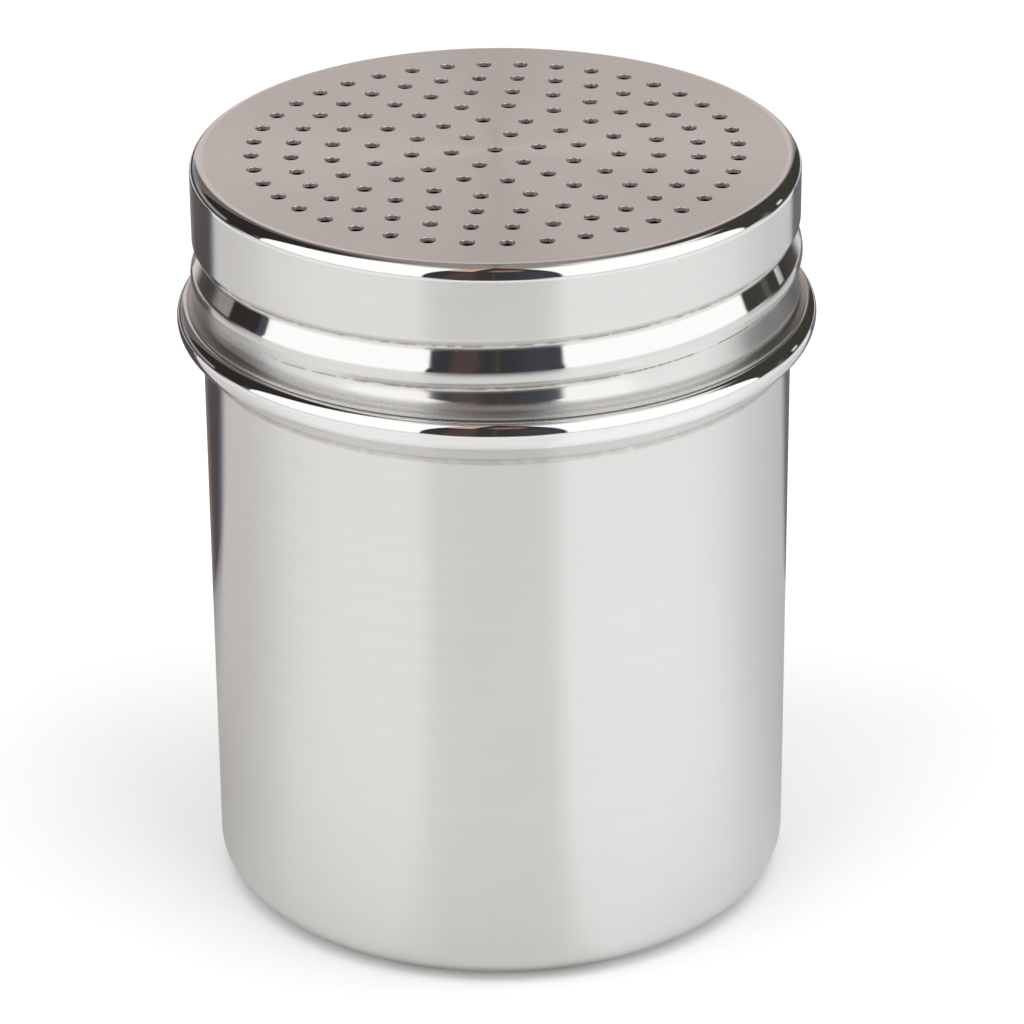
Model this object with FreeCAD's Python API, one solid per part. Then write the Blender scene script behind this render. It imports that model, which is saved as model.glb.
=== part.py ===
import FreeCAD, Part

import math
import os

from FreeCAD import Vector

# A spice shaker of two pressed steel pieces: a deep can and a perforated lid that screws onto it.
# The lid's round lip is made as a solid of its own: it carries the lid's lift, and the lid turns on it.
# Lengths are in millimetres. The can stands on z = 0 and its axis is the Z axis.
# Angles go anticlockwise seen from above, and the front of the shaker faces -Y.

# Steel sheet
sheet = 0.5
cut_edge_radius = 0.15

# Can body and base
can_radius = 35.0
base_corner_radius = 4.0
standing_width = 3.8
panel_rise = 0.8
panel_step = 1.2
panel_bend_radius = 1.2

# Bead rolled out of the can wall, where the lid comes to rest
bead_bottom_height = 68.85
bead_reach = 3.0
bead_height = 5.75
bead_root_radius = 1.0
bead_flank_radius = 2.8

# Neck of the can, inside the lid
neck_inset = 0.8
neck_root_radius = 0.5
neck_height = 16.8
plain_rim_length = 2.0

# Lid
lid_clearance = 1.23
lid_edge_radius = 1.7
lid_drop_inside = 0.9
lip_reach = 0.87
lip_bend_radius = 0.4
seat_gap = 0.05
plain_band_length = 5.03

# Rolled thread, one right-handed start, with its crease height measured at the front.
# Under each turn of the crease the lid's wall stands out a little, as a cordon.
pitch = 5.2
crease_height_above_seat = 3.1
crease_depth = 0.85
crease_upper_length = 1.3
crease_lower_length = 3.3
crease_upper_soft_shares = (0.30, 0.45)
crease_lower_soft_shares = (0.12, 0.35)
crease_fade_length = 1.0
cordon_rise = 0.3
cordon_fall_length = 1.6
lid_thread_start_turn = -0.24
lid_thread_fade_turns = (0.22, 0.10)
ridge_height = 0.8
ridge_half_length = 1.5
ridge_centre_share = 0.40
can_thread_start_turn = -0.15
can_thread_fade_turns = (0.25, 0.25)
front_turn = -0.25

# Perforations, as rings of round holes about one centre hole
hole_radius = 0.87
hole_mouth_radius = 0.12
first_ring_radius = 5.2
last_ring_margin = 7.33
ring_hole_counts = (6, 12, 16, 24, 32, 40)
ring_turn_shares = (0.155, 0.272, 0.708, 0.568, 0.400, 0.283)

# Fineness of the threaded walls, in control points round the axis and in steps up the wall
points_round = 144
wall_step = 0.26
cut_overrun = 1.0
surface_degree = 3
smallest_length = 0.001

# Radii that follow from the sizes above
panel_radius = can_radius - base_corner_radius - standing_width - panel_step
bead_radius = can_radius + bead_reach
neck_radius = can_radius - neck_inset
lid_radius = neck_radius + lid_clearance + sheet
lip_radius = lid_radius + lip_reach
ring_spacing = (lid_radius - last_ring_margin - first_ring_radius) / (len(ring_hole_counts) - 1)

# Heights that follow from them, where the bead's lower flank slopes at 45 degrees
bead_flank_height = bead_bottom_height + bead_reach
bead_top_height = bead_bottom_height + bead_height
bead_crown_radius = bead_height - bead_reach - bead_flank_radius * math.tan(math.pi / 8)
rim_height = bead_top_height + neck_height
lip_bottom_height = bead_top_height + seat_gap
lip_top_height = lip_bottom_height + sheet
lid_top_height = rim_height + lid_drop_inside + sheet
front_crease_height = bead_top_height + crease_height_above_seat
neck_thread_bottom = bead_top_height + neck_root_radius + sheet
neck_thread_top = rim_height - plain_rim_length
lid_thread_bottom = lip_top_height + lip_bend_radius
lid_thread_top = lid_top_height - lid_edge_radius - plain_band_length

# Turns over which each wall is formed, from the start of its thread to the end of its room
lid_thread_turns = (
    lid_thread_start_turn,
    (lid_thread_top - crease_upper_length - front_crease_height) / pitch)
can_thread_turns = (
    can_thread_start_turn,
    (neck_thread_top - ridge_half_length - front_crease_height) / pitch - ridge_centre_share)

axis_point = Vector(0, 0, 0)
axis_direction = Vector(0, 0, 1)
full_turn = 2 * math.pi


def profile_point(radius, height):
    return Vector(radius, 0, height)


def direction(start, end):
    return (end - start).normalize()


def left_of(heading):
    return Vector(-heading.z, 0, heading.x)


def turn_between(first, second):
    """Signed angle from one heading to the next in the profile plane, positive to the left."""
    cross = first.x * second.z - first.z * second.x
    return math.atan2(cross, first.dot(second))


def line_if_any(start, end):
    """The line between two bends, or nothing where the bends meet."""
    if start.isEqual(end, smallest_length):
        return []
    return [Part.makeLine(start, end)]


def rounded_path(corners):
    """A chain of lines and tangent arcs through (radius, height, bend radius) corners."""
    points = [profile_point(radius, height) for radius, height, bend in corners]
    edges = []
    last = points[0]
    for index in range(1, len(points) - 1):
        corner = points[index]
        bend = corners[index][2]
        arriving = direction(points[index - 1], corner)
        leaving = direction(corner, points[index + 1])
        half_turn = turn_between(arriving, leaving) / 2
        tangent = bend * math.tan(abs(half_turn))
        arc_start = corner - arriving * tangent
        arc_end = corner + leaving * tangent
        inward = (leaving - arriving).normalize()
        arc_middle = corner + inward * (bend / math.cos(half_turn) - bend)
        edges += line_if_any(last, arc_start)
        edges.append(Part.Arc(arc_start, arc_middle, arc_end).toShape())
        last = arc_end
    return edges + line_if_any(last, points[-1])


def path_to_the_left(corners, distance):
    """The corners of the same path on the other face of the sheet, at its left."""
    points = [profile_point(radius, height) for radius, height, bend in corners]
    headings = [direction(start, end) for start, end in zip(points, points[1:])]
    moved = []
    for index, (point, corner) in enumerate(zip(points, corners)):
        before = headings[max(index - 1, 0)]
        after = headings[min(index, len(headings) - 1)]
        corner_turn = turn_between(before, after)
        side = (left_of(before) + left_of(after)).normalize()
        place = point + side * (distance / math.cos(corner_turn / 2))
        bend = corner[2] - math.copysign(distance, corner_turn)
        moved.append((place.x, place.z, bend))
    return moved


def revolved_faces(edges):
    return Part.Wire(edges).revolve(axis_point, axis_direction, 360).Faces


def smooth_share(value):
    kept = min(max(value, 0), 1)
    return kept * kept * (3 - 2 * kept)


def ramp_share(value, first_soft_share, last_soft_share):
    """Rises from 0 to 1 along a straight slope that is rounded off at both ends."""
    kept = min(max(value, 0), 1)
    slope = 1 / (1 - first_soft_share / 2 - last_soft_share / 2)
    if kept < first_soft_share:
        return slope * kept * kept / (2 * first_soft_share)
    if kept > 1 - last_soft_share:
        rest = 1 - kept
        return 1 - slope * rest * rest / (2 * last_soft_share)
    return slope * (kept - first_soft_share / 2)


def thread_share(turn, turns, fade_turns):
    """How fully the thread is formed at a turn, fading in and out at its two ends."""
    start, end = turns
    start_fade, end_fade = fade_turns
    return smooth_share((turn - start) / start_fade) * smooth_share((end - turn) / end_fade)


def turns_over(angle):
    """Every turn of the helix that passes over an angle, counted from the front."""
    nearest = angle / full_turn - front_turn
    return [nearest + whole for whole in (-2, -1, 0, 1, 2)]


def crease_share(rise):
    """Depth of the lid's crease at a rise above its deepest line: short above, long below."""
    if rise > 0:
        return 1 - ramp_share(rise / crease_upper_length, *crease_upper_soft_shares)
    return 1 - ramp_share(-rise / crease_lower_length, *crease_lower_soft_shares)


def cordon_share(rise):
    """How far the cordon is formed at a rise: it grows down the crease and falls away under it."""
    if rise > -crease_lower_length:
        return ramp_share(-rise / crease_lower_length, *crease_lower_soft_shares)
    return 1 - smooth_share((-rise - crease_lower_length) / cordon_fall_length)


def lid_wall_radius(angle, height):
    fade = smooth_share((height - lid_thread_bottom) / crease_fade_length)
    radius = lid_radius
    for turn in turns_over(angle):
        formed = fade * thread_share(turn, lid_thread_turns, lid_thread_fade_turns)
        rise = height - front_crease_height - pitch * turn
        radius = radius - crease_depth * formed * crease_share(rise)
        radius = radius + cordon_rise * formed * cordon_share(rise)
    return radius


def neck_wall_radius(angle, height):
    out = 0
    for turn in turns_over(angle):
        formed = thread_share(turn, can_thread_turns, can_thread_fade_turns)
        rise = height - front_crease_height - pitch * (turn + ridge_centre_share)
        out = out + ridge_height * formed * (1 - smooth_share(abs(rise) / ridge_half_length))
    return neck_radius + out


def threaded_face(wall_radius, inset, bottom, top):
    """A closed wall round the axis whose radius follows wall_radius, as one spline surface."""
    # Control points of a closed cubic spline lie a little outside the circle that it draws,
    # and its seam lies at the second of them, which is put at angle 0 with the other seams.
    step_angle = full_turn / points_round
    swell = 6 / (4 + 2 * math.cos(step_angle))
    rows = math.ceil((top - bottom) / wall_step)
    poles = []
    for column in range(points_round):
        angle = (column - 1) * step_angle
        line = []
        for row in range(rows + 1):
            height = bottom + (top - bottom) * row / rows
            radius = (wall_radius(angle, height) - inset) * swell
            line.append(Vector(radius * math.cos(angle), radius * math.sin(angle), height))
        poles.append(line)
    round_knots = list(range(points_round + 1))
    up_knots = list(range(rows - surface_degree + 2))
    up_counts = [surface_degree + 1] + [1] * (len(up_knots) - 2) + [surface_degree + 1]
    surface = Part.BSplineSurface()
    surface.buildFromPolesMultsKnots(
        poles, [1] * len(round_knots), up_counts, round_knots, up_knots,
        True, False, surface_degree, surface_degree)
    return surface.toShape()


def sheet_solid(faces):
    """One closed solid from the faces of both sides of a sheet and its cut edge."""
    skin = Part.makeCompound(faces)
    skin.sewShape()
    solid = Part.makeSolid(skin.Shells[0])
    if solid.Volume < 0:
        solid.reverse()
    return solid


def make_can():
    corners = [
        (0, panel_rise, 0),
        (panel_radius, panel_rise, panel_bend_radius),
        (panel_radius + panel_step, 0, panel_bend_radius),
        (can_radius, 0, base_corner_radius),
        (can_radius, bead_bottom_height, bead_root_radius),
        (bead_radius, bead_flank_height, bead_flank_radius),
        (bead_radius, bead_top_height, bead_crown_radius),
        (neck_radius, bead_top_height, neck_root_radius),
        (neck_radius, neck_thread_bottom, 0),
    ]
    outside = rounded_path(corners)
    inside = rounded_path(path_to_the_left(corners, sheet))
    rim = rounded_path([
        (neck_radius, neck_thread_top, 0),
        (neck_radius, rim_height, cut_edge_radius),
        (neck_radius - sheet, rim_height, cut_edge_radius),
        (neck_radius - sheet, neck_thread_top, 0),
    ])
    faces = revolved_faces(outside) + revolved_faces(inside) + revolved_faces(rim)
    for inset in (0, sheet):
        faces.append(threaded_face(neck_wall_radius, inset, neck_thread_bottom, neck_thread_top))
    return sheet_solid(faces)


def lid_foot_line():
    """Across the sheet where the lid's wall meets its lip."""
    return Part.makeLine(
        profile_point(lid_radius - sheet, lid_thread_bottom),
        profile_point(lid_radius, lid_thread_bottom))


def make_lid_lip():
    lip = [
        (lid_radius - sheet, lid_thread_bottom, 0),
        (lid_radius - sheet, lip_bottom_height, lip_bend_radius + sheet),
        (lip_radius, lip_bottom_height, cut_edge_radius),
        (lip_radius, lip_top_height, cut_edge_radius),
        (lid_radius, lip_top_height, lip_bend_radius),
        (lid_radius, lid_thread_bottom, 0),
    ]
    outline = rounded_path(lip) + [lid_foot_line()]
    return Part.Face(Part.Wire(outline)).revolve(axis_point, axis_direction, 360)


def make_lid_shell():
    crown = [
        (lid_radius, lid_thread_top, 0),
        (lid_radius, lid_top_height, lid_edge_radius),
        (0, lid_top_height, 0),
    ]
    faces = revolved_faces(rounded_path(crown))
    faces += revolved_faces(rounded_path(path_to_the_left(crown, sheet)))
    faces += revolved_faces([lid_foot_line()])
    for inset in (0, sheet):
        faces.append(threaded_face(lid_wall_radius, inset, lid_thread_bottom, lid_thread_top))
    return sheet_solid(faces)


def hole_centres():
    centres = [(0, 0)]
    for ring, count in enumerate(ring_hole_counts):
        ring_radius = first_ring_radius + ring * ring_spacing
        for number in range(count):
            angle = full_turn * (number + ring_turn_shares[ring]) / count
            centres.append((ring_radius * math.cos(angle), ring_radius * math.sin(angle)))
    return centres


def hole_cutter():
    """The punched hole with its rounded mouth, about the Z axis of the disc."""
    below = lid_top_height - sheet - cut_overrun
    above = lid_top_height + cut_overrun
    mouth_start = profile_point(hole_radius, lid_top_height - hole_mouth_radius)
    mouth_end = profile_point(hole_radius + hole_mouth_radius, lid_top_height)
    eighth = hole_mouth_radius * math.sqrt(1 / 2)
    mouth_middle = profile_point(
        hole_radius + hole_mouth_radius - eighth, lid_top_height - hole_mouth_radius + eighth)
    outline = [
        Part.makeLine(profile_point(0, below), profile_point(hole_radius, below)),
        Part.makeLine(profile_point(hole_radius, below), mouth_start),
        Part.Arc(mouth_start, mouth_middle, mouth_end).toShape(),
        Part.makeLine(mouth_end, profile_point(hole_radius + hole_mouth_radius, above)),
        Part.makeLine(
            profile_point(hole_radius + hole_mouth_radius, above), profile_point(0, above)),
        Part.makeLine(profile_point(0, above), profile_point(0, below)),
    ]
    return Part.Face(Part.Wire(outline)).revolve(axis_point, axis_direction, 360)


def make_lid():
    cutter = hole_cutter()
    cutters = []
    for x, y in hole_centres():
        copy = cutter.copy()
        copy.translate(Vector(x, y, 0))
        cutters.append(copy)
    return make_lid_shell().cut(cutters).Solids[0]


os.makedirs("parts", exist_ok=True)
pieces = {"can": make_can(), "perforated_lid": make_lid(), "lid_lip": make_lid_lip()}
for name, shape in pieces.items():
    shape.exportStep(f"parts/{name}.step")
    print(name, "valid", shape.isValid(), "volume", round(shape.Volume), "faces", len(shape.Faces))
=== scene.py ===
import math

import bpy
import numpy as np
from mathutils import Matrix, Vector
from mathutils.geometry import delaunay_2d_cdt


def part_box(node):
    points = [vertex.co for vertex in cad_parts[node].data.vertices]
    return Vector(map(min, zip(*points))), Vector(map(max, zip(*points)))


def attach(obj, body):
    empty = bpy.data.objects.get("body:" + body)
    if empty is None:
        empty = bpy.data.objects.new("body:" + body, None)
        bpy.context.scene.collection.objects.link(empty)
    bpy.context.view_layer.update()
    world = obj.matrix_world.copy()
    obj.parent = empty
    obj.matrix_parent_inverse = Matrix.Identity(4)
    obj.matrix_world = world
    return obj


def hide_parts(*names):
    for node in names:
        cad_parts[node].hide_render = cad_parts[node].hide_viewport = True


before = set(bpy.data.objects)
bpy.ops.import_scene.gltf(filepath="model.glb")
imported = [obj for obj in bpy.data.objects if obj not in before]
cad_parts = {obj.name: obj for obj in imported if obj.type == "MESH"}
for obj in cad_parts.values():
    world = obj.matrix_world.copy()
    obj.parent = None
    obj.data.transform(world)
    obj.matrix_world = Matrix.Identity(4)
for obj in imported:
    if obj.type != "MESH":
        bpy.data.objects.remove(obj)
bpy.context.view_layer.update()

# A steel spice shaker: a can with a rolled bead, and a lid with a rolled thread and punched holes.
# Each piece is spun again as a fine mesh on the frame's own sizes, and it stands for its CAD node.
# Lengths are in metres. Angles in the studio count from the front, -Y, and grow to the right.

mm = 0.001
full_turn = 2 * math.pi

# Sizes that the frame gives
bead_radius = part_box("can")[1].x
rim_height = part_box("can")[1].z
lip_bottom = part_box("lid_lip")[0].z
lip_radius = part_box("lid_lip")[1].x
lid_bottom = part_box("perforated_lid")[0].z
lid_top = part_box("perforated_lid")[1].z

# Sheet, can and bead
sheet = 0.5 * mm
cut_edge_radius = 0.15 * mm
base_corner_radius = 4.0 * mm
standing_width = 3.8 * mm
panel_rise = 0.8 * mm
panel_step = 1.2 * mm
panel_bend_radius = 1.2 * mm
bead_reach = 3.0 * mm
bead_height = 5.75 * mm
bead_root_radius = 1.0 * mm
bead_flank_radius = 2.8 * mm
neck_inset = 0.8 * mm
neck_root_radius = 0.5 * mm
plain_rim_length = 2.0 * mm

# Lid
lid_edge_radius = 1.7 * mm
lip_reach = 0.87 * mm
lip_bend_radius = 0.4 * mm
lip_seat_gap = 0.05 * mm

# Rolled thread, with a cordon that stands out under each turn of the crease
pitch = 5.2 * mm
crease_height_above_seat = 3.1 * mm
crease_depth = 0.85 * mm
crease_upper_length = 1.3 * mm
crease_lower_length = 3.3 * mm
crease_upper_soft_shares = (0.30, 0.45)
crease_lower_soft_shares = (0.12, 0.35)
crease_fade_length = 1.0 * mm
cordon_rise = 0.3 * mm
cordon_fall_length = 1.6 * mm
plain_band_length = 5.03 * mm
lid_thread_start_turn = -0.24
lid_thread_fade_turns = (0.22, 0.10)
ridge_height = 0.8 * mm
ridge_half_length = 1.5 * mm
ridge_centre_share = 0.40
can_thread_start_turn = -0.15
can_thread_fade_turns = (0.25, 0.25)
front_turn = -0.25

# Perforations
hole_radius = 0.87 * mm
hole_mouth_radius = 0.12 * mm
first_ring_radius = 5.2 * mm
last_ring_margin = 7.33 * mm
ring_hole_counts = (6, 12, 16, 24, 32, 40)
ring_turn_shares = (0.155, 0.272, 0.708, 0.568, 0.400, 0.283)

# Sizes that follow
can_radius = bead_radius - bead_reach
neck_radius = can_radius - neck_inset
panel_radius = can_radius - base_corner_radius - standing_width - panel_step
bead_top = lip_bottom - lip_seat_gap
bead_bottom = bead_top - bead_height
bead_flank_height = bead_bottom + bead_reach
bead_crown_radius = bead_height - bead_reach - bead_flank_radius * math.tan(math.pi / 8)
lip_top = lip_bottom + sheet
lid_radius = lip_radius - lip_reach
disc_radius = lid_radius - lid_edge_radius
crease_height = bead_top + crease_height_above_seat
neck_thread_top = rim_height - plain_rim_length
ring_spacing = (lid_radius - last_ring_margin - first_ring_radius) / (len(ring_hole_counts) - 1)
lid_thread_turns = (
    lid_thread_start_turn,
    (lid_top - lid_edge_radius - plain_band_length - crease_upper_length - crease_height) / pitch)
can_thread_turns = (
    can_thread_start_turn,
    (neck_thread_top - ridge_half_length - crease_height) / pitch - ridge_centre_share)

# Fineness of the meshes
columns = 360
plain_step = 2.0 * mm
thread_step = 0.1 * mm
arc_step = 0.12 * mm
fewest_arc_steps = 5
hole_sides = 28
mouth_steps = 4
slope_step = 0.01 * mm

# The photograph's camera
camera_place = Vector((0, -0.5136, 0.2936))
camera_aim = Vector((0.00163, 0, 0.0456))
camera_roll = math.radians(0.45)
camera_lens_mm = 164.9
camera_sensor_mm = 36
camera_clip_start = 0.05

# The studio, as patches of light and dark round the shaker, painted in this order.
# Each has its lowest and highest angle round, its lowest and highest elevation, how soft
# its edges are in the two directions, and its colour.
room_colour = (0.13, 0.118, 0.108)
studio_patches = [
    (-180, 180, 48, 95, 8, 14, (0.33, 0.295, 0.275)),
    (162, 208, -20, 46, 14, 10, (0.67, 0.605, 0.575)),
    (-156, -94, -20, 68, 4, 20, (0.17, 0.15, 0.14)),
    (-138, -94, -20, 66, 5, 20, (0.030, 0.026, 0.025)),
    (-156, -114.5, -14, 8, 2, 4, (0.34, 0.32, 0.31)),
    (-98, -94, -20, 12, 2, 4, (0.075, 0.085, 0.11)),
    (-152, -143, -12, 12, 3, 6, (0.23, 0.26, 0.31)),
    (101, 158, -20, 62, 1.5, 20, (0.050, 0.048, 0.040)),
    (113, 117, -4, 12, 1.5, 4, (0.105, 0.100, 0.085)),
    (123.6, 127.6, -12, 8, 1.2, 4, (0.80, 0.79, 0.77)),
    (-26.5, 23.5, -20, 95, 1.2, 8, (0.045, 0.044, 0.047)),
    (-26.5, -22, -20, 50, 3, 6, (0.040, 0.042, 0.050)),
    (-18, -8, -20, 46, 4, 8, (0.090, 0.066, 0.060)),
    (-1.7, -0.3, -20, 46, 0.8, 8, (0.080, 0.064, 0.050)),
    (8, 23.5, -20, 46, 12, 8, (0.060, 0.064, 0.078)),
    (-24.5, -12, 58, 86, 3, 8, (0.80, 0.48, 0.35)),
    (-3, 14, 57, 68, 7, 8, (0.42, 0.20, 0.14)),
    (-94, -26.5, -20, 74, 1.2, 16, (1.25, 1.25, 1.24)),
    (23.5, 101, -20, 74, 1.6, 16, (1.25, 1.25, 1.24)),
    (100, 122, 46, 78, 8, 10, (1.0, 0.99, 0.97)),
]

# The table's lighter and darker parts below are painted light and shade, which the camera does not
# see.
# The table as the steel reflects it. Its colour starts at the left one, and each turn gives the
# angle where the next colour begins to come in, the angle where it is all there, and the colour.
# Between two distances the table grows brighter, and far out it falls dark: the low and the high
# angle, how soft they are, and the distances where that begins and where it is all dark.
table_left = (0.885, 0.895, 0.895)
table_turns = [
    (-58, -118, (0.66, 0.655, 0.65)),
    (-118, -146, (0.48, 0.475, 0.47)),
    (-29, -21, (0.835, 0.84, 0.83)),
    (15, 26, (0.945, 0.972, 0.98)),
    (66, 146, (0.56, 0.58, 0.60)),
    (150, 178, (0.52, 0.525, 0.53)),
    (-150, -178, (0.52, 0.525, 0.53)),
]
table_beyond = (0.98, 0.98, 0.98)
table_beyond_share = 0.5
table_beyond_from = (0.15, 0.25)
table_far_dark = (0.07, 0.064, 0.06)
table_far = [
    (-165, -104, 16, 0.36, 0.60),
    (-20, 17, 14, 0.45, 0.80),
    (112, 165, 16, 0.36, 0.60),
]

# The floor, the glowing cards on it that paint the can's dark outline as a painted reflection, and
# the overhead light
floor_half_width = 3.0
floor_drop = 0.02 * mm
floor_colour = (0.92, 0.92, 0.92)
floor_glow = 0.12
card_height = 0.5 * mm
overhead_size = 1.2
overhead_height = 1.2
overhead_power = 10.0


class Tree:
    """Short calls that build a node tree."""

    def __init__(self, owner):
        owner.use_nodes = True
        self.nodes = owner.node_tree.nodes
        self.links = owner.node_tree.links
        self.nodes.clear()

    def add(self, kind, **settings):
        node = self.nodes.new(kind)
        for name, value in settings.items():
            setattr(node, name, value)
        return node

    def feed(self, socket, value):
        """Writes a plain value on the socket, or links another node's output to it."""
        if isinstance(value, bpy.types.NodeSocket):
            self.links.new(value, socket)
        elif isinstance(value, tuple) and socket.type == "RGBA":
            socket.default_value = (*value, 1)
        else:
            socket.default_value = value

    def math(self, operation, *values):
        node = self.add("ShaderNodeMath", operation=operation)
        for socket, value in zip(node.inputs, values):
            self.feed(socket, value)
        return node.outputs[0]

    def times(self, *values):
        product = values[0]
        for value in values[1:]:
            product = self.math("MULTIPLY", product, value)
        return product

    def most(self, *values):
        largest = values[0]
        for value in values[1:]:
            largest = self.math("MAXIMUM", largest, value)
        return largest

    def rest(self, value):
        return self.math("SUBTRACT", 1.0, value)

    def step(self, value, low, high):
        """Rises smoothly from 0 at low to 1 at high, and the other way where low is higher."""
        node = self.add("ShaderNodeMapRange", interpolation_type="SMOOTHSTEP")
        self.feed(node.inputs["Value"], value)
        flipped = low > high
        node.inputs["From Min"].default_value = min(low, high)
        node.inputs["From Max"].default_value = max(low, high)
        node.inputs["To Min"].default_value = 1.0 if flipped else 0.0
        node.inputs["To Max"].default_value = 0.0 if flipped else 1.0
        return node.outputs["Result"]

    def band(self, value, low, high, soft):
        """1 between low and high and 0 outside, with edges that are soft wide."""
        rising = self.step(value, low - soft / 2, low + soft / 2)
        falling = self.step(value, high + soft / 2, high - soft / 2)
        return self.math("MULTIPLY", rising, falling)

    def mix(self, share, first, second):
        node = self.add("ShaderNodeMix", data_type="RGBA")
        self.feed(node.inputs["Factor"], share)
        self.feed(node.inputs[6], first)
        self.feed(node.inputs[7], second)
        return node.outputs[2]

    def blend(self, share, first, second):
        """A plain number between first and second."""
        node = self.add("ShaderNodeMix", data_type="FLOAT")
        self.feed(node.inputs["Factor"], share)
        self.feed(node.inputs[2], first)
        self.feed(node.inputs[3], second)
        return node.outputs[0]

    def split(self, vector):
        node = self.add("ShaderNodeSeparateXYZ")
        self.feed(node.inputs[0], vector)
        return node.outputs

    def join(self, x, y, z):
        node = self.add("ShaderNodeCombineXYZ")
        for socket, value in zip(node.inputs, (x, y, z)):
            self.feed(socket, value)
        return node.outputs[0]

    def noise(self, vector, scale, detail=2.0, roughness=0.5):
        node = self.add("ShaderNodeTexNoise")
        self.feed(node.inputs["Vector"], vector)
        node.inputs["Scale"].default_value = scale
        node.inputs["Detail"].default_value = detail
        node.inputs["Roughness"].default_value = roughness
        return node.outputs["Fac"]

    def degrees_round(self, x, y):
        """Angle round the Z axis from the front, positive to the right."""
        return self.math("DEGREES", self.math("ARCTAN2", x, self.math("MULTIPLY", y, -1.0)))


# Profiles, as stations of (radius, height, normal's radius part, normal's height part).
# A profile is walked with the air on its right.

def unit(vector):
    return vector / np.linalg.norm(vector)


def right_of(heading):
    return np.array([heading[1], -heading[0]])


def straight(start, end, step):
    start, end = np.array(start), np.array(end)
    count = max(1, math.ceil(np.linalg.norm(end - start) / step))
    shares = np.linspace(0, 1, count + 1)[:, None]
    normals = np.tile(right_of(unit(end - start)), (count + 1, 1))
    return np.hstack([start + (end - start) * shares, normals])


def bend(corner, arriving, leaving, radius):
    """A tangent arc at a corner between two headings."""
    cross = arriving[0] * leaving[1] - arriving[1] * leaving[0]
    turn = math.atan2(cross, arriving @ leaving)
    centre = corner + unit(leaving - arriving) * radius / math.cos(turn / 2)
    count = max(fewest_arc_steps, math.ceil(abs(turn) * radius / arc_step))
    stations = []
    for share in np.linspace(0, 1, count + 1):
        turned = share * turn
        heading = np.array([
            arriving[0] * math.cos(turned) - arriving[1] * math.sin(turned),
            arriving[0] * math.sin(turned) + arriving[1] * math.cos(turned)])
        normal = right_of(heading)
        stations.append([*(centre + normal * math.copysign(radius, turn)), *normal])
    return np.array(stations)


def rounded(corners):
    """Runs of stations through (radius, height, bend radius) corners."""
    points = [np.array(corner[:2]) for corner in corners]
    runs = []
    last = points[0]
    for index in range(1, len(points) - 1):
        arriving = unit(points[index] - points[index - 1])
        leaving = unit(points[index + 1] - points[index])
        arc = bend(points[index], arriving, leaving, corners[index][2])
        if np.linalg.norm(arc[0, :2] - last) > slope_step:
            runs.append(straight(last, arc[0, :2], plain_step))
        runs.append(arc)
        last = arc[-1, :2]
    if np.linalg.norm(points[-1] - last) > slope_step:
        runs.append(straight(last, points[-1], plain_step))
    return runs


def other_side(runs):
    """The same runs on the other face of the sheet, walked backwards."""
    return [
        np.hstack([run[:, :2] - run[:, 2:] * sheet, -run[:, 2:]])[::-1] for run in reversed(runs)]


# The rolled thread, as what it adds to the radius of a wall

def smooth_share(value):
    kept = np.clip(value, 0, 1)
    return kept * kept * (3 - 2 * kept)


def ramp_share(value, first_soft_share, last_soft_share):
    """Rises from 0 to 1 along a straight slope that is rounded off at both ends."""
    kept = np.clip(value, 0, 1)
    slope = 1 / (1 - first_soft_share / 2 - last_soft_share / 2)
    first = slope * kept * kept / (2 * first_soft_share)
    last = 1 - slope * (1 - kept) ** 2 / (2 * last_soft_share)
    middle = slope * (kept - first_soft_share / 2)
    middle_or_last = np.where(kept > 1 - last_soft_share, last, middle)
    return np.where(kept < first_soft_share, first, middle_or_last)


def thread_share(turn, turns, fade_turns):
    """How fully the thread is formed at a turn, fading in and out at its two ends."""
    start, end = turns
    start_fade, end_fade = fade_turns
    return smooth_share((turn - start) / start_fade) * smooth_share((end - turn) / end_fade)


def turns_over(angle):
    """Every turn of the helix that passes over an angle, counted from the front."""
    return [angle / full_turn - front_turn + whole for whole in (-2, -1, 0, 1, 2)]


def crease_share(rise):
    """Depth of the lid's crease at a rise above its deepest line: short above, long below."""
    above = 1 - ramp_share(rise / crease_upper_length, *crease_upper_soft_shares)
    below = 1 - ramp_share(-rise / crease_lower_length, *crease_lower_soft_shares)
    return np.where(rise > 0, above, below)


def cordon_share(rise):
    """How far the cordon is formed at a rise: it grows down the crease and falls away under it."""
    growing = ramp_share(-rise / crease_lower_length, *crease_lower_soft_shares)
    falling = 1 - smooth_share((-rise - crease_lower_length) / cordon_fall_length)
    return np.where(rise > -crease_lower_length, growing, falling)


def lid_bulge(angle, height):
    fade = smooth_share((height - lid_bottom) / crease_fade_length)
    out = 0
    for turn in turns_over(angle):
        formed = fade * thread_share(turn, lid_thread_turns, lid_thread_fade_turns)
        rise = height - crease_height - pitch * turn
        out = out + formed * (cordon_rise * cordon_share(rise) - crease_depth * crease_share(rise))
    return out


def neck_bulge(angle, height):
    out = 0
    for turn in turns_over(angle):
        formed = thread_share(turn, can_thread_turns, can_thread_fade_turns)
        rise = height - crease_height - pitch * (turn + ridge_centre_share)
        out = out + formed * (1 - smooth_share(np.abs(rise) / ridge_half_length))
    return ridge_height * out


def no_bulge(angle, height):
    return 0 * angle * height


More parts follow.
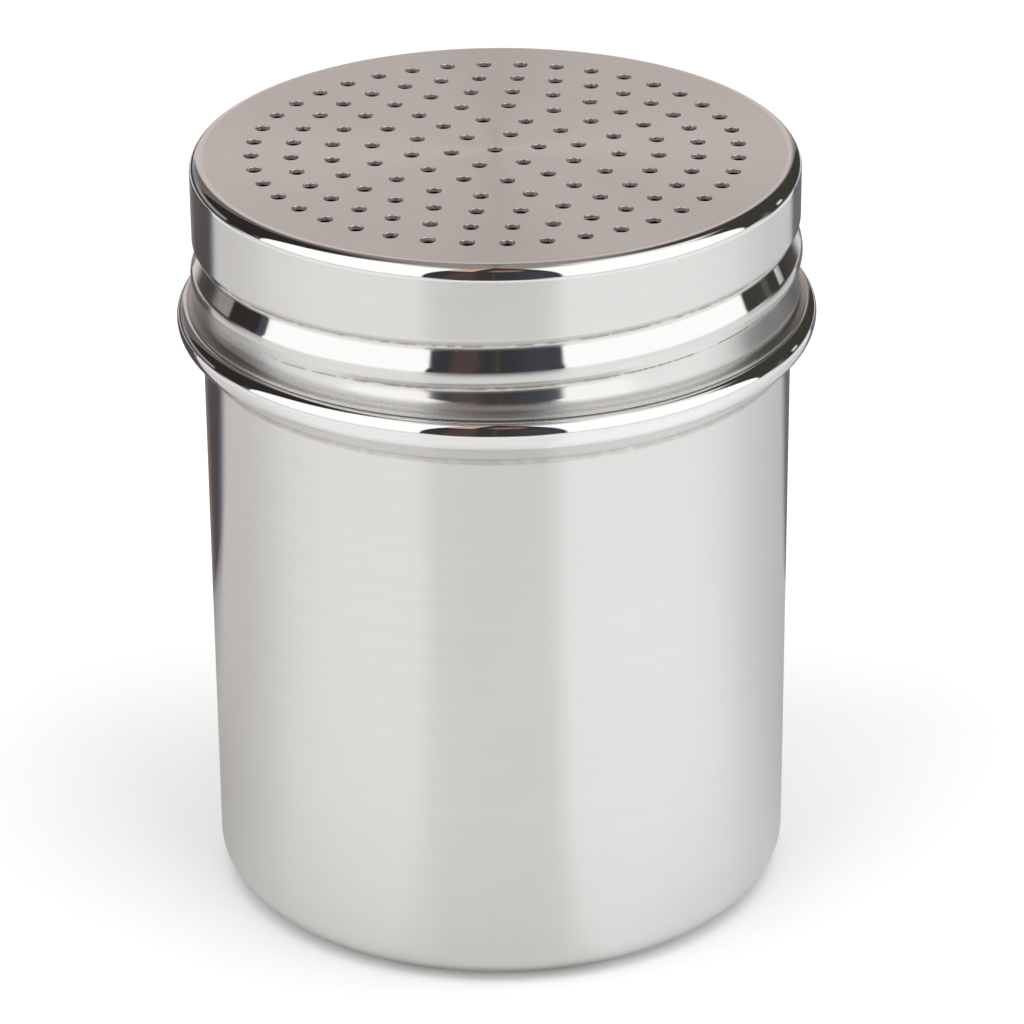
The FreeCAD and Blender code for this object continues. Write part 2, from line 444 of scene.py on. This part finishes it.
class Skin:
    """Collects the points, faces, exact corner normals and finishes of one mesh."""

    def __init__(self):
        self.points = []
        self.faces = []
        self.normals = []
        self.finishes = []

    def add_ring(self, points):
        first = len(self.points)
        self.points += [tuple(point) for point in points]
        return list(range(first, first + len(points)))

    def add_face(self, corners, normals, finish=0):
        self.faces.append(corners)
        self.normals += normals
        self.finishes.append(finish)

    def join_rings(self, low, high, low_normals, high_normals, finish=0):
        """Faces between two rings, each of which may be one point on the axis."""
        around = max(len(low), len(high))
        for here in range(around):
            there = (here + 1) % around
            a, b = low[here % len(low)], low[there % len(low)]
            c, d = high[there % len(high)], high[here % len(high)]
            corners = [a, b, c, d]
            normals = [
                low_normals[here], low_normals[there], high_normals[there], high_normals[here]]
            if a == b:
                corners, normals = [a, c, d], [normals[0], normals[2], normals[3]]
            elif c == d:
                corners, normals = [a, b, c], normals[:3]
            self.add_face(corners, normals, finish)

    def spin(self, runs, bulge, closed=False):
        """Turns the runs round the axis. Gives the first ring and the last."""
        angles = np.arange(columns) * full_turn / columns
        first = ring = None
        for number, run in enumerate(runs):
            radius, height, normal_out, normal_up = (run[:, index:index + 1] for index in range(4))
            grown = radius + bulge(angles, height)
            rise = bulge(angles, height + slope_step) - bulge(angles, height - slope_step)
            run_on = bulge(angles + slope_step, height) - bulge(angles - slope_step, height)
            slope_up = rise / (2 * slope_step)
            slope_round = run_on / (2 * slope_step) / np.maximum(grown, sheet)
            up = normal_up - normal_out * slope_up
            round_part = -normal_out * slope_round
            out_x, out_y = np.cos(angles), np.sin(angles)
            places = np.stack([grown * out_x, grown * out_y, height + 0 * grown], axis=-1)
            normals = np.stack([
                normal_out * out_x - round_part * out_y,
                normal_out * out_y + round_part * out_x,
                up + 0 * grown], axis=-1)
            normals /= np.linalg.norm(normals, axis=-1)[..., None]
            for row in range(len(run)):
                shared = row == 0 and ring is not None
                closing = closed and number == len(runs) - 1 and row == len(run) - 1
                if shared:
                    new_ring = ring
                elif closing:
                    new_ring = first
                else:
                    on_axis = run[row, 0] < slope_step
                    new_ring = self.add_ring(places[row, :1] if on_axis else places[row])
                new_normals = [tuple(normal) for normal in normals[row]]
                if row > 0:
                    self.join_rings(ring, new_ring, last_normals, new_normals)
                ring, last_normals = new_ring, new_normals
                first = first or ring
        return first, ring

    def make(self, name, materials):
        mesh = bpy.data.meshes.new(name)
        mesh.from_pydata(self.points, [], self.faces)
        for material in materials:
            mesh.materials.append(material)
        mesh.polygons.foreach_set("material_index", self.finishes)
        mesh.polygons.foreach_set("use_smooth", [True] * len(self.faces))
        mesh.update()
        mesh.normals_split_custom_set(self.normals)
        piece = bpy.data.objects.new(name, mesh)
        bpy.context.scene.collection.objects.link(piece)
        return piece


def make_can(material):
    wall = rounded([
        (0, panel_rise, 0),
        (panel_radius, panel_rise, panel_bend_radius),
        (panel_radius + panel_step, 0, panel_bend_radius),
        (can_radius, 0, base_corner_radius),
        (can_radius, bead_bottom, bead_root_radius),
        (bead_radius, bead_flank_height, bead_flank_radius),
        (bead_radius, bead_top, bead_crown_radius),
        (neck_radius, bead_top, neck_root_radius),
        (neck_radius, bead_top + neck_root_radius + sheet, 0),
    ])
    neck_foot = wall[-1][-1, :2]
    wall.append(straight(neck_foot, (neck_radius, neck_thread_top), 2 * thread_step))
    rim = rounded([
        (neck_radius, neck_thread_top, 0),
        (neck_radius, rim_height, cut_edge_radius),
        (neck_radius - sheet, rim_height, cut_edge_radius),
        (neck_radius - sheet, neck_thread_top, 0),
    ])
    skin = Skin()
    skin.spin(wall + rim + other_side(wall), neck_bulge)
    piece = skin.make("steel_can", [material])
    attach(piece, "can_body")
    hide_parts("can")


def make_lip(material):
    inner_radius = lid_radius - sheet
    outline = rounded([
        (inner_radius, lid_bottom, 0),
        (inner_radius, lip_bottom, lip_bend_radius + sheet),
        (lip_radius, lip_bottom, cut_edge_radius),
        (lip_radius, lip_top, cut_edge_radius),
        (lid_radius, lip_top, lip_bend_radius),
        (lid_radius, lid_bottom, 0),
    ])
    outline.append(straight((lid_radius, lid_bottom), (inner_radius, lid_bottom), plain_step))
    skin = Skin()
    skin.spin(outline, no_bulge, closed=True)
    piece = skin.make("steel_lip", [material])
    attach(piece, "lid_lip_body")
    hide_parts("lid_lip")


def hole_centres():
    centres = [(0, 0)]
    for ring, count in enumerate(ring_hole_counts):
        ring_radius = first_ring_radius + ring * ring_spacing
        for number in range(count):
            angle = full_turn * (number + ring_turn_shares[ring]) / count
            centres.append((ring_radius * math.cos(angle), ring_radius * math.sin(angle)))
    return centres


def hole_stations():
    """(radius, height, normal) down the rounded mouth and the wall of a hole."""
    stations = []
    for turned in np.linspace(0, math.pi / 2, mouth_steps + 1):
        stations.append((
            hole_radius + hole_mouth_radius * (1 - math.sin(turned)),
            lid_top - hole_mouth_radius * (1 - math.cos(turned)),
            -math.sin(turned), math.cos(turned)))
    stations.append((hole_radius, lid_top - sheet, -1.0, 0.0))
    return stations


def add_hole(skin, centre):
    """The wall of one hole. Gives the ring round its mouth and the ring at its bottom."""
    angles = np.arange(hole_sides) * full_turn / hole_sides
    ring = None
    for radius, height, out, up in hole_stations():
        new_ring = skin.add_ring([
            (centre[0] + radius * math.cos(angle), centre[1] + radius * math.sin(angle), height)
            for angle in angles])
        new_normals = [(out * math.cos(angle), out * math.sin(angle), up) for angle in angles]
        if ring is None:
            mouth = new_ring
        else:
            skin.join_rings(ring, new_ring, last_normals, new_normals, finish=1)
        ring, last_normals = new_ring, new_normals
    return mouth, ring


def add_disc(skin, bottom_rim, top_rim):
    """The disc's two flat faces, between its rim and the walls of its holes."""
    top_rings = [top_rim]
    bottom_rings = [bottom_rim]
    for centre in hole_centres():
        mouth, foot = add_hole(skin, centre)
        top_rings.append(mouth)
        bottom_rings.append(foot)
    top = [index for ring in top_rings for index in ring]
    bottom = [index for ring in bottom_rings for index in ring]
    ring_of = [number for number, ring in enumerate(top_rings) for index in ring]
    places = [Vector(skin.points[index][:2]) / mm for index in top]
    edges = []
    start = 0
    for ring in top_rings:
        count = len(ring)
        edges += [(start + here, start + (here + 1) % count) for here in range(count)]
        start += count
    triangles = delaunay_2d_cdt(places, edges, [], 0, 1e-7)[2]
    for a, b, c in triangles:
        inside_a_hole = ring_of[a] == ring_of[b] == ring_of[c] and ring_of[a] > 0
        if not inside_a_hole:
            skin.add_face([top[a], top[b], top[c]], [(0, 0, 1)] * 3)
            skin.add_face([bottom[c], bottom[b], bottom[a]], [(0, 0, -1)] * 3)


def make_lid(material, hole_material):
    inner_radius = lid_radius - sheet
    thread_top = lid_top - lid_edge_radius - plain_band_length
    wall = [straight((lid_radius, lid_bottom), (lid_radius, thread_top), thread_step)]
    wall += rounded([
        (lid_radius, thread_top, 0),
        (lid_radius, lid_top, lid_edge_radius),
        (disc_radius, lid_top, 0),
    ])
    foot = straight((inner_radius, lid_bottom), (lid_radius, lid_bottom), plain_step)
    skin = Skin()
    bottom_rim, top_rim = skin.spin(other_side(wall) + [foot] + wall, lid_bulge)
    add_disc(skin, bottom_rim, top_rim)
    piece = skin.make("steel_lid", [material, hole_material])
    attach(piece, "lid_body")
    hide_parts("perforated_lid")


def make_world():
    world = bpy.data.worlds.new("studio")
    bpy.context.scene.world = world
    tree = Tree(world)
    x, y, z = tree.split(tree.add("ShaderNodeTexCoord").outputs["Generated"])
    round_angle = tree.degrees_round(x, y)
    back_angle = tree.math("DEGREES", tree.math("ARCTAN2", tree.math("MULTIPLY", x, -1.0), y))
    elevation = tree.math("DEGREES", tree.math("ARCSINE", z))
    colour = room_colour
    for low, high, bottom, top, soft_round, soft_up, patch_colour in studio_patches:
        if high > 180:
            across = tree.band(back_angle, low - 180, high - 180, soft_round)
        else:
            across = tree.band(round_angle, low, high, soft_round)
        share = tree.times(across, tree.band(elevation, bottom, top, soft_up))
        colour = tree.mix(share, colour, patch_colour)
    white = tree.add("ShaderNodeLightPath").outputs["Is Camera Ray"]
    colour = tree.mix(white, colour, (1.0, 1.0, 1.0))
    background = tree.add("ShaderNodeBackground")
    tree.feed(background.inputs["Color"], colour)
    output = tree.add("ShaderNodeOutputWorld")
    tree.links.new(background.outputs[0], output.inputs["Surface"])


def make_overhead_light():
    data = bpy.data.lights.new("overhead", "AREA")
    data.shape = "SQUARE"
    data.size = overhead_size
    data.energy = overhead_power
    light = bpy.data.objects.new("overhead", data)
    light.location = (0, 0, overhead_height)
    light.visible_glossy = False
    bpy.context.scene.collection.objects.link(light)


def flat_piece(name, corners, height):
    mesh = bpy.data.meshes.new(name)
    mesh.from_pydata([(x, y, height) for x, y in corners], [], [tuple(range(len(corners)))])
    piece = bpy.data.objects.new(name, mesh)
    bpy.context.scene.collection.objects.link(piece)
    return piece


def make_floor():
    """A pale table, which the steel reflects with lighter and darker parts of painted light and
    shade.
    """
    half = floor_half_width
    corners = [(-half, -half), (half, -half), (half, half), (-half, half)]
    floor = flat_piece("floor", corners, -floor_drop)
    material = bpy.data.materials.new("pale_table")
    tree = Tree(material)
    x, y, z = tree.split(tree.add("ShaderNodeTexCoord").outputs["Object"])
    angle = tree.degrees_round(x, y)
    distance = tree.math("SQRT", tree.math("ADD", tree.times(x, x), tree.times(y, y)))
    reflected = table_left
    for start, end, turn_colour in table_turns:
        reflected = tree.mix(tree.step(angle, start, end), reflected, turn_colour)
    beyond = tree.times(tree.step(distance, *table_beyond_from), table_beyond_share)
    reflected = tree.mix(beyond, reflected, table_beyond)
    for low, high, soft, near, far in table_far:
        share = tree.times(tree.band(angle, low, high, soft), tree.step(distance, near, far))
        reflected = tree.mix(share, reflected, table_far_dark)
    seen = tree.add("ShaderNodeLightPath").outputs
    colour = tree.mix(seen["Is Camera Ray"], reflected, floor_colour)
    surface = tree.add("ShaderNodeBsdfDiffuse")
    tree.feed(surface.inputs["Color"], colour)
    glow = tree.add("ShaderNodeEmission")
    tree.feed(glow.inputs["Color"], (1.0, 1.0, 1.0))
    tree.feed(glow.inputs["Strength"], tree.times(seen["Is Camera Ray"], floor_glow))
    together = tree.add("ShaderNodeAddShader")
    tree.links.new(surface.outputs[0], together.inputs[0])
    tree.links.new(glow.outputs[0], together.inputs[1])
    output = tree.add("ShaderNodeOutputMaterial")
    tree.links.new(together.outputs[0], output.inputs["Surface"])
    floor.data.materials.append(material)


def make_card(name, corners, colour):
    """A glowing card on the table that only the steel reflects: a painted reflection."""
    card = flat_piece(name, corners, card_height)
    material = bpy.data.materials.new(name)
    tree = Tree(material)
    glow = tree.add("ShaderNodeEmission")
    tree.feed(glow.inputs["Color"], colour)
    output = tree.add("ShaderNodeOutputMaterial")
    tree.links.new(glow.outputs[0], output.inputs["Surface"])
    card.data.materials.append(material)
    card.visible_camera = False
    card.visible_diffuse = False
    card.visible_shadow = False
    card.visible_transmission = False


def make_cards():
    # Sheets that glow with dark colours: painted reflections of the dark room beyond the table,
    # and a bluish strip of painted shade along the table's edge.
    make_card("painted_dark_reflection_left", [
        (-0.080, 0.066), (-0.060, 0.068), (-0.1365, 0.290), (-0.330, 0.238)],
        (0.085, 0.074, 0.076))
    make_card("painted_blue_reflection_left", [
        (-0.0865, 0.062), (-0.080, 0.066), (-0.330, 0.238), (-0.352, 0.228)],
        (0.24, 0.26, 0.30))
    make_card("painted_brown_reflection_left", [
        (-0.060, 0.068), (-0.040, 0.068), (-0.040, 0.290), (-0.1365, 0.290)],
        (0.33, 0.27, 0.245))
    make_card("painted_dark_reflection_right", [
        (0.040, 0.070), (0.0575, 0.070), (0.266, 0.290), (0.040, 0.290)],
        (0.165, 0.168, 0.178))


def make_camera():
    forward = (camera_aim - camera_place).normalized()
    level_right = forward.cross(Vector((0, 0, 1))).normalized()
    level_up = level_right.cross(forward)
    up = level_up * math.cos(camera_roll) + level_right * math.sin(camera_roll)
    right = forward.cross(up)
    data = bpy.data.cameras.new("photo_camera")
    data.lens = camera_lens_mm
    data.sensor_width = camera_sensor_mm
    data.clip_start = camera_clip_start
    camera = bpy.data.objects.new("photo_camera", data)
    camera.matrix_world = Matrix.Translation(camera_place) @ Matrix(
        (right, up, -forward)).transposed().to_4x4()
    bpy.context.scene.collection.objects.link(camera)
    bpy.context.scene.camera = camera


def round_grain(tree, place, across, along):
    """Noise drawn out round the axis, as brushing and spinning leave it."""
    slow = tree.math("ADD", place["x"], tree.math("MULTIPLY", place["y"], 0.7))
    drawn = tree.join(
        tree.times(place["radius"], across),
        tree.times(place["z"], across),
        tree.times(slow, along))
    return tree.noise(drawn, 1.0, detail=3.0, roughness=0.6)


def slanted(tree, place, across, along):
    """Coordinates of the lid's wall that run on along lines sloping down to the right."""
    around = tree.times(tree.math("ARCTAN2", place["y"], place["x"]), lid_radius)
    down = tree.math("ADD", around, place["z"])
    return tree.join(tree.times(down, across), tree.times(place["z"], along), 0.0)


def steel(name):
    """The start of a steel material: its tree, the sockets of its place, and its shader."""
    material = bpy.data.materials.new(name)
    tree = Tree(material)
    point = tree.add("ShaderNodeTexCoord").outputs["Object"]
    x, y, z = tree.split(point)
    radius = tree.math("SQRT", tree.math("ADD", tree.times(x, x), tree.times(y, y)))
    place = {"point": point, "x": x, "y": y, "z": z, "radius": radius}
    shader = tree.add("ShaderNodeBsdfPrincipled")
    shader.inputs["Metallic"].default_value = 1.0
    shader.inputs["Anisotropic"].default_value = 1.0
    shader.inputs["Anisotropic Rotation"].default_value = 0.25
    tangent = tree.add("ShaderNodeTangent", direction_type="RADIAL", axis="Z")
    tree.links.new(tangent.outputs[0], shader.inputs["Tangent"])
    output = tree.add("ShaderNodeOutputMaterial")
    tree.links.new(shader.outputs[0], output.inputs["Surface"])
    return material, tree, place, shader


satin_colour = (0.72, 0.712, 0.70)
polished_colour = (0.80, 0.795, 0.79)
dull_painted_light_colour = (0.86, 0.85, 0.84)
darker_share = 0.975
worn_colour = (0.58, 0.56, 0.54)
line_colour = (0.42, 0.37, 0.33)
satin_roughness = 0.205
polished_roughness = 0.045
dull_roughness = 0.42
worn_roughness = 0.42
grain_roughness = 0.03
cloud_roughness = 0.04
speckle_roughness = 0.08
grain_height = 0.004 * mm
grain_strength = 0.25
worn_height_share = 2.5
torn_height = 0.02 * mm
torn_strength = 0.6


def finish_steel(tree, place, shader, polished, worn, line, dull_and_lit=0.0):
    """Satin steel with polished, dull and worn places, fine lines, grain and unevenness; painted
    light lightens the dull places.
    """
    grain = round_grain(tree, place, 9000.0, 60.0)
    broad_grain = round_grain(tree, place, 1500.0, 25.0)
    cloud = tree.noise(place["point"], 90.0, detail=3.0)
    speckle = tree.noise(place["point"], 7500.0, detail=1.0)

    satin = tree.blend(
        grain, satin_roughness - grain_roughness, satin_roughness + grain_roughness)
    satin = tree.math("ADD", satin, tree.times(tree.math("SUBTRACT", cloud, 0.5), cloud_roughness))
    satin = tree.blend(dull_and_lit, satin, dull_roughness)
    rough = tree.blend(polished, satin, polished_roughness)
    speckled = tree.blend(
        speckle, worn_roughness - speckle_roughness, worn_roughness + speckle_roughness)
    rough = tree.blend(worn, rough, speckled)
    tree.feed(shader.inputs["Roughness"], rough)

    darker = tuple(share * darker_share for share in satin_colour)
    tone = tree.mix(tree.step(broad_grain, 0.25, 0.75), darker, satin_colour)
    # The dull places are rougher, and painted lighter than satin steel: painted light.
    tone = tree.mix(dull_and_lit, tone, dull_painted_light_colour)
    tone = tree.mix(polished, tone, polished_colour)
    worn_tone = tree.mix(tree.step(speckle, 0.35, 0.65), worn_colour, satin_colour)
    tone = tree.mix(worn, tone, worn_tone)
    # The fine lines are darker: painted shade in the lid's creases, and a faint brownish line
    # under the can's bead.
    tone = tree.mix(line, tone, line_colour)
    tree.feed(shader.inputs["Base Color"], tone)

    fine = tree.times(grain, tree.rest(polished))
    height = tree.math("ADD", fine, tree.times(speckle, worn, worn_height_share))
    bump = tree.add("ShaderNodeBump")
    bump.inputs["Strength"].default_value = grain_strength
    bump.inputs["Distance"].default_value = grain_height
    tree.feed(bump.inputs["Height"], height)
    tree.links.new(bump.outputs[0], shader.inputs["Normal"])


def make_can_steel():
    """A satin wall, a polished bead, and a faint, broken, darker brownish line under it."""
    material, tree, place, shader = steel("can_steel")
    outside = tree.step(place["radius"], can_radius - 0.3 * mm, can_radius - 0.1 * mm)
    bead = tree.band(place["z"], bead_bottom + 0.5 * mm, bead_top + 1 * mm, 0.3 * mm)
    root = tree.band(place["z"], bead_bottom - 0.45 * mm, bead_bottom + 0.25 * mm, 0.4 * mm)
    patchy = tree.step(tree.noise(place["point"], 700.0, detail=3.0), 0.3, 0.6)
    finish_steel(
        tree, place, shader, tree.times(bead, outside), tree.times(root, outside, 0.35),
        tree.times(root, outside, patchy, 0.35))
    return material


def thread_place(tree, place):
    """Height above the nearest crease, and that crease's turn, counted from the front."""
    angle_turn = tree.math("DIVIDE", tree.math("ARCTAN2", place["y"], place["x"]), full_turn)
    over = tree.math("DIVIDE", tree.math("SUBTRACT", place["z"], crease_height), pitch)
    phase = tree.math("SUBTRACT", over, tree.math("SUBTRACT", angle_turn, front_turn))
    below_share = 0.66
    share = tree.math("FRACT", tree.math("ADD", phase, below_share))
    share = tree.math("SUBTRACT", share, below_share)
    return tree.times(share, pitch), tree.math("SUBTRACT", over, share)


def make_lid_steel():
    """Polished edge and crease, worn foot, dull lower crease with painted light, broken line of
    painted shade in each crease.
    """
    material, tree, place, shader = steel("lid_steel")
    rise, turn = thread_place(tree, place)
    outside = tree.step(place["radius"], disc_radius - 0.05 * mm, disc_radius + 0.25 * mm)
    edge_start = lid_top - lid_edge_radius
    edge = tree.step(place["z"], edge_start - 0.1 * mm, edge_start + 0.1 * mm)
    formed = tree.times(tree.step(turn, -0.2, -0.05), tree.step(turn, 1.36, 1.2))
    streaks = tree.noise(slanted(tree, place, 2600.0, 130.0), 1.0, detail=2.0)
    upper_turn = tree.step(turn, 0.40, 0.62)
    gloss = tree.blend(upper_turn, tree.blend(streaks, 0.15, 0.55), tree.blend(streaks, 0.55, 1.0))
    slope = tree.times(tree.band(rise, -2.65 * mm, -0.40 * mm, 0.2 * mm), formed)
    front = tree.most(upper_turn, tree.band(turn, -0.075, 0.065, 0.03))
    face = tree.times(slope, gloss, front)
    polished = tree.most(tree.times(outside, edge), face)
    foot = tree.times(
        outside, tree.step(place["z"], lid_bottom + 0.9 * mm, lid_bottom + 0.3 * mm))
    # A broken darker line just above each crease's deepest line: painted shade in the crease.
    hair = tree.noise(place["point"], 900.0, detail=3.0)
    above = tree.math("ADD", rise, tree.times(tree.math("SUBTRACT", hair, 0.5), 0.12 * mm))
    broken = tree.step(hair, 0.38, 0.58)
    line = tree.times(
        tree.band(above, 0.02 * mm, 0.28 * mm, 0.10 * mm), formed, outside, broken)
    # Rougher off the front, and painted lighter there: painted light.
    dull_and_lit = tree.times(outside, tree.rest(front), tree.step(turn, -0.3, -0.25))
    finish_steel(tree, place, shader, polished, foot, line, dull_and_lit)
    return material


def make_hole_steel():
    """The torn, rough wall that punching leaves."""
    material, tree, place, shader = steel("punched_edge")
    shader.inputs["Anisotropic"].default_value = 0.0
    torn = tree.noise(place["point"], 4200.0, detail=2.0)
    mouth = tree.step(place["z"], lid_top - 0.10 * mm, lid_top - 0.03 * mm)
    rough = tree.blend(mouth, tree.blend(torn, 0.60, 0.80), 0.25)
    tree.feed(shader.inputs["Roughness"], rough)
    tone = tree.mix(tree.step(torn, 0.35, 0.65), (0.50, 0.44, 0.41), (0.86, 0.80, 0.76))
    tone = tree.mix(mouth, tone, (0.82, 0.81, 0.80))
    tree.feed(shader.inputs["Base Color"], tone)
    bump = tree.add("ShaderNodeBump")
    bump.inputs["Strength"].default_value = torn_strength
    bump.inputs["Distance"].default_value = torn_height
    tree.feed(bump.inputs["Height"], torn)
    tree.links.new(bump.outputs[0], shader.inputs["Normal"])
    return material


make_world()
make_overhead_light()
make_floor()
make_cards()
make_camera()
make_can(make_can_steel())
lid_steel = make_lid_steel()
make_lid(lid_steel, make_hole_steel())
make_lip(lid_steel)

bpy.context.scene.view_settings.view_transform = "Standard"
